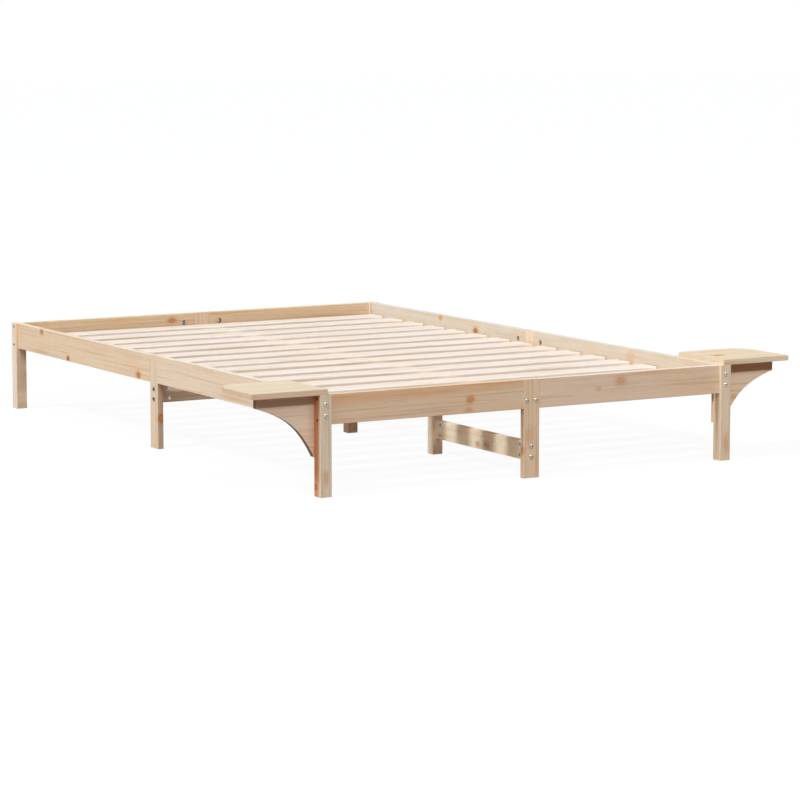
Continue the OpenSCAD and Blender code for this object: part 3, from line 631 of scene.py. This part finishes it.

# the boards in the order in which their wood is drawn, with what isn't left to chance:
# - sap: the sapwood's colour, which every tint multiplies
# - the heart tint, inside a radius round the pith with a soft edge: heartwood, but
#   painted light on the right head leg and painted shade on the right bracket
# - pith: its place across and through the board, from the board's middle line
# - lean: how far the pith drifts across and through the board for each unit along it
# - along: the grain's axis, where it isn't the board's length
# - contrast, warm: how strongly late wood and warm blotches show
# - figure: how much of streaks and late wood shows on the long faces
# - top, front: painted light and shade, as tints of the faces that look up, and of those
#   that look along the bed
# - a darkened underside and, with dark_ends, darkened ends: painted shade
BOARDS = {
    "leg_head_left": {"sap": (0.72, 0.63, 0.49), "heart_and_painted_light": (0.90, 0.41, 0.225),
                      "heart_and_painted_light_radius": 21.0, "heart_and_painted_light_soft": 7.0, "pith": (-30.0, 10.0)},
    # painted light: the heart tint lightens this leg's face that looks to the bed's
    # middle
    "leg_head_right": {"sap": (0.75, 0.63, 0.47), "heart_and_painted_light": (1.03, 0.98, 0.94),
                       "heart_and_painted_light_radius": 22.0, "heart_and_painted_light_soft": 4.0, "pith": (-30.0, 0.0)},
    # painted light: the front tint lightens this leg's faces that look along the bed
    "leg_foot_left": {"sap": (0.76, 0.62, 0.51), "front": (1.13, 1.10, 0.97)},
    "leg_foot_right": {"sap": PALE_PINE},
    "mid_leg_head": {"sap": (0.75, 0.58, 0.41), "pith": (0.0, 60.0), "contrast": 0.15},
    "mid_leg_foot": {},
    "mid_leg_left": {"sap": (0.69, 0.545, 0.405)},
    "mid_leg_right": {},
    "rail_head_left": {"sap": (0.71, 0.55, 0.40), "heart_and_painted_light": (0.97, 0.84, 0.72),
                       "heart_and_painted_light_radius": 32.0, "heart_and_painted_light_soft": 12.0,
                       "pith": (45.0, -10.0), "lean": (0.04, 0.0), "contrast": 0.15},
    "rail_head_right": {"sap": (0.74, 0.58, 0.44), "contrast": 0.15},
    "rail_foot_left": {"sap": FOOT_PINE},
    "rail_foot_right": {"sap": FOOT_PINE},
    "rail_left_head": {"sap": (0.73, 0.58, 0.44)},
    "rail_left_foot": {"sap": (0.71, 0.54, 0.38)},
    "rail_right_head": {"sap": (0.63, 0.52, 0.41), "figure": 0.4},
    "rail_right_foot": {"sap": (0.61, 0.52, 0.42), "figure": 0.5},
    "centre_leg": {"sap": (0.60, 0.44, 0.31)},
    # painted light: the paler pine of this leg and of the head's stretcher stands in for
    # light under the bed
    "quarter_leg_head": {"sap": (0.88, 0.76, 0.60)},
    "quarter_leg_foot": {"sap": PALE_PINE},
    "stretcher_head": {"sap": (0.90, 0.76, 0.57), "contrast": 0.30},
    "stretcher_foot": {},
    # painted light: the paler pine stands in for light under the bed
    "cross_beam_left": {"sap": (0.88, 0.76, 0.62)},
    "cross_beam_right": {"sap": PALE_PINE},
    "centre_board_head": {},
    "centre_board_foot": {},
    "ledger_left_head": {},
    "ledger_left_foot": {},
    "ledger_right_head": {},
    "ledger_right_foot": {},
    # painted shade: the top tints darken the shelves' faces that look up
    "shelf_left": {"along": X_AXIS, "sap": (0.69, 0.53, 0.38), "contrast": 0.14,
                   "top": (0.91, 0.98, 1.01)},
    "shelf_right": {"along": X_AXIS, "sap": (0.75, 0.63, 0.455), "contrast": 0.14,
                    "top": (0.86, 0.81, 0.81)},
    # painted shade: both brackets have a darkened underside, and the left one darkened
    # ends
    "bracket_left": {"along": X_AXIS, "sap": (0.77, 0.63, 0.50), "painted_under_shade": True,
                     "dark_ends": True},
    # painted shade: the heart tint along this bracket's top edge stands in for the
    # shelf's shadow
    "bracket_right": {"along": X_AXIS, "sap": (0.84, 0.69, 0.52), "painted_under_shade": True,
                      "heart_and_painted_light": (0.79, 0.66, 0.57), "heart_and_painted_light_radius": 30.0,
                      "heart_and_painted_light_soft": 5.0, "pith": (78.0, 0.0)},
    # painted shade: the cleats' darker pine stands in for the shade under the shelves
    "bracket_cleat_left": {"sap": (0.64, 0.54, 0.39)},
    "bracket_cleat_right": {"sap": (0.58, 0.38, 0.25)},
    "rail_cleat_left": {},
    "rail_cleat_right": {},
}
for number in range(1, SLATS + 1):
    # painted light: the front tint lightens the slats' faces that look along the bed
    BOARDS["slat_" + str(number)] = {"sap": SLAT_PINE, "contrast": 0.16, "warm": 0.25,
                                     "front": SLAT_EDGE_PAINTED_LIGHT}

KNOTS = {
    "rail_left_foot": [
        Knot((-623.5, 767.0, 251.0), 8.0, 6.0, dark=0.5, halo=0.8),
        Knot((-623.5, 578.0, 191.0), 7.0, 5.5, dark=1.0, halo=0.8),
        Knot((-623.5, 99.0, 194.0), 9.0, 7.0, dark=0.6, halo=0.85),
    ],
    "mid_leg_left": [Knot((-611.0, -24.0, 85.0), 10.0, 6.0, dark=0.35, halo=0.85)],
    "rail_head_left": [
        Knot((-187.0, -967.5, 219.0), 8.0, 7.0, dark=0.25, halo=0.7),
        Knot((-193.0, -967.5, 192.0), 8.0, 4.0, dark=0.15, halo=0.5),
    ],
    "rail_head_right": [
        Knot((278.0, -967.5, 237.0), 11.0, 8.0, dark=0.15, halo=0.5),
        Knot((208.0, -967.5, 220.0), 6.0, 4.0, dark=0.1, halo=0.3),
    ],
    "rail_right_head": [Knot((606.5, -532.0, 236.0), 10.0, 12.0, dark=0.0, halo=0.3)],
    "rail_right_foot": [
        Knot((606.5, 304.0, 229.0), 10.0, 8.0, dark=0.8, halo=0.8),
        Knot((606.5, 512.0, 251.0), 8.0, 6.0, dark=0.3, halo=0.6),
    ],
    "rail_foot_left": [Knot((-104.0, 950.5, 240.0), 10.0, 6.0, dark=0.4, halo=0.7)],
    "stretcher_head": [
        Knot((-8.5, -713.0, 57.0), 7.0, 6.0, dark=0.25, halo=0.55),
        Knot((-8.5, -758.0, 60.0), 9.0, 6.0, dark=0.15, halo=0.6),
    ],
    "shelf_right": [Knot((658.0, -880.0, 274.0), 13.0, 6.0, dark=0.75, halo=0.75)],
    "leg_head_left": [
        Knot((-615.0, -975.0, 49.0), 11.0, 5.0, dark=0.1, halo=0.4),
        Knot((-631.0, -951.0, 24.0), 7.0, 4.0, dark=0.6, halo=0.3),
    ],
    "leg_head_right": [Knot((617.0, -975.0, 46.0), 16.0, 6.0, dark=0.1, halo=0.4)],
    "bracket_right": [Knot((667.0, -943.0, 166.0), 8.0, 5.0, dark=0.1, halo=0.4)],
    "mid_leg_head": [
        Knot((-24.0, -956.0, 73.0), 7.0, 4.0, dark=0.3, halo=0.6),
        Knot((-5.0, -967.5, 111.0), 14.0, 9.0, dark=0.05, halo=0.3),
    ],
}


def board_look(node, rng):
    """The full look of a board: its own values where it has them, and seeded ones.

    Straight boards fill their box, so that only their bores lie below its faces.
    """
    angle = rng.uniform(0.0, 2 * math.pi)
    reach = rng.uniform(*PITH_REACH)
    look = {
        "along": None,
        "sap": PINE,
        "heart_and_painted_light_radius": 0.0,
        "warm": USUAL_WARMTH,
        "contrast": USUAL_CONTRAST,
        "wave": rng.uniform(*WAVE_RANGE),
        "ring": rng.uniform(*RING_RANGE),
        "pith": (reach * math.cos(angle), reach * math.sin(angle)),
        "lean": (rng.uniform(*LEAN_ACROSS), rng.uniform(*LEAN_THROUGH)),
        "painted_under_shade": False,
        "dark_ends": False,
        "figure": FULL_FIGURE,
        "end": SHELF_END if node.startswith("shelf_") else BOARD_END,
        "straight": not node.startswith(("shelf_", "bracket_")),
        "top": RAIL_TOP_PAINTED_LIGHT if node.startswith("rail_") else None,
        "front": None,
        "knots": KNOTS.get(node, []),
    }
    look.update(BOARDS[node])
    return look


def dress(node, material):
    """Gives a CAD node one material in every slot."""
    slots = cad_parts[node].data.materials
    for index in range(len(slots)):
        slots[index] = material
    if not slots:
        slots.append(material)


def dress_all():
    """Pine on every board, and a finish of steel on each group of fasteners."""
    rng = random.Random(WOOD_SEED)
    for node in BOARDS:
        look = board_look(node, rng)
        dress(node, make_pine(node, look, rng))
    zinc = make_steel(*ZINC)
    finishes = {node: make_steel(*finish) for node, finish in FINISHES.items()}
    for node in sorted(set(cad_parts) - set(BOARDS)):
        dress(node, finishes.get(node, zinc))


# ---------- studio ----------

# a lamp's light is about the irradiance that it gives at the object
KEY_ELEVATION = math.radians(38.5)
KEY_DISTANCE = 25.0
KEY_WIDTH = 26.0
KEY_HEIGHT = 1.2
KEY_LIGHT = 1.53
SIDE_ELEVATION = math.radians(50.0)
SIDE_ANGLE = math.radians(10.0)
SIDE_LIGHT = 2.4
SIDE_COLOUR = (0.90, 1.02, 1.09)
GLOW_INNER = math.radians(8.0)
GLOW_OUTER = math.radians(38.0)
FLOOR_SIZE = 60.0
FLOOR_CORNERS = [(-1, -1), (1, -1), (1, 1), (-1, 1)]
FLOOR_COLOUR = (0.84, 0.84, 0.84, 1.0)
FLOOR_GLOW = (0.28, 0.195, 0.155, 1.0)
# the share of the lit floor, with its shadow, in what is seen. The rest is plain white
SHADOW_SHARE = 0.06

# the studio's bright walls: azimuth, elevation and strength
GLOWS = [
    (0.0, 55.0, 1.13),
    (60.0, 47.0, 1.40),
    (95.0, 4.0, 1.50),
    (170.0, 8.0, 1.24),
]


def compass(azimuth, elevation):
    """A direction from the object. Its azimuth runs from the head end to the left."""
    flat = math.cos(elevation)
    return Vector((
        -math.sin(azimuth) * flat,
        -math.cos(azimuth) * flat,
        math.sin(elevation),
    ))


def hang_lamp(data, towards, distance=0.0):
    """Puts a lamp in a direction from the object and turns it to the object."""
    lamp = bpy.data.objects.new(data.name, data)
    lamp.location = towards * distance
    lamp.rotation_euler = (-towards).to_track_quat("-Z", "Y").to_euler()
    bpy.context.scene.collection.objects.link(lamp)


def add_key():
    """A long low softbox in front of the head end."""
    data = bpy.data.lights.new("key", "AREA")
    data.shape = "RECTANGLE"
    data.size = KEY_WIDTH
    data.size_y = KEY_HEIGHT
    data.energy = KEY_LIGHT * math.pi * KEY_DISTANCE ** 2
    hang_lamp(data, compass(0.0, KEY_ELEVATION), KEY_DISTANCE)


def add_side():
    """A large distant lamp on the left."""
    data = bpy.data.lights.new("side", "SUN")
    data.energy = SIDE_LIGHT
    data.color = SIDE_COLOUR
    data.angle = SIDE_ANGLE
    hang_lamp(data, compass(math.pi / 2, SIDE_ELEVATION))


def shown(t):
    """1 for rays that show the backdrop: seen, mirrored or through glass. Else 0."""
    path = t.add("ShaderNodeLightPath").outputs
    seen = t.math("MAXIMUM", path["Is Camera Ray"], path["Is Glossy Ray"])
    return t.math("MAXIMUM", seen, path["Is Transmission Ray"])


def make_world():
    """White behind the object, and soft light from a few bright walls."""
    world = bpy.data.worlds.new("studio")
    t = empty_tree(world)
    towards = t.add("ShaderNodeTexCoord").outputs["Generated"]
    light = 0.0
    for azimuth, elevation, strength in GLOWS:
        axis = compass(math.radians(azimuth), math.radians(elevation))
        nearness = t.vector("DOT_PRODUCT", towards, tuple(axis))
        glow = t.step(nearness, math.cos(GLOW_OUTER), math.cos(GLOW_INNER))
        light = t.math("MULTIPLY_ADD", glow, strength, light)
    above = t.math("GREATER_THAN", t.split(towards)[2], 0.0)
    light = t.math("MULTIPLY", light, above)
    background = t.add("ShaderNodeBackground")
    background.inputs["Color"].default_value = WHITE
    t.plug(background.inputs["Strength"], t.math("MAXIMUM", shown(t), light))
    t.surface("ShaderNodeOutputWorld", background.outputs[0])
    bpy.context.scene.world = world


def mix_shaders(t, factor, first, second):
    """Two shader nodes in one: the first at 0, the second at 1."""
    node = t.add("ShaderNodeMixShader")
    t.plug(node.inputs[0], factor)
    t.plug(node.inputs[1], first.outputs[0])
    t.plug(node.inputs[2], second.outputs[0])
    return node


def make_floor():
    """A plain white floor that keeps the object's shadow and sends up some light."""
    material = bpy.data.materials.new("floor")
    t = empty_tree(material)
    white = t.add("ShaderNodeEmission")
    white.inputs["Color"].default_value = WHITE
    lit = t.add("ShaderNodeBsdfDiffuse")
    lit.inputs["Color"].default_value = FLOOR_COLOUR
    bounce = t.add("ShaderNodeEmission")
    bounce.inputs["Color"].default_value = FLOOR_GLOW
    seen = mix_shaders(t, SHADOW_SHARE, white, lit)
    choice = mix_shaders(t, shown(t), bounce, seen)
    t.surface("ShaderNodeOutputMaterial", choice.outputs[0])

    half = FLOOR_SIZE / 2
    corners = [(x * half, y * half, 0.0) for x, y in FLOOR_CORNERS]
    mesh = bpy.data.meshes.new("floor")
    mesh.from_pydata(corners, [], [(0, 1, 2, 3)])
    mesh.materials.append(material)
    floor = bpy.data.objects.new("floor", mesh)
    bpy.context.scene.collection.objects.link(floor)


make_camera()
add_key()
add_side()
make_world()
make_floor()
bpy.context.scene.view_settings.view_transform = "Standard"
dress_all()
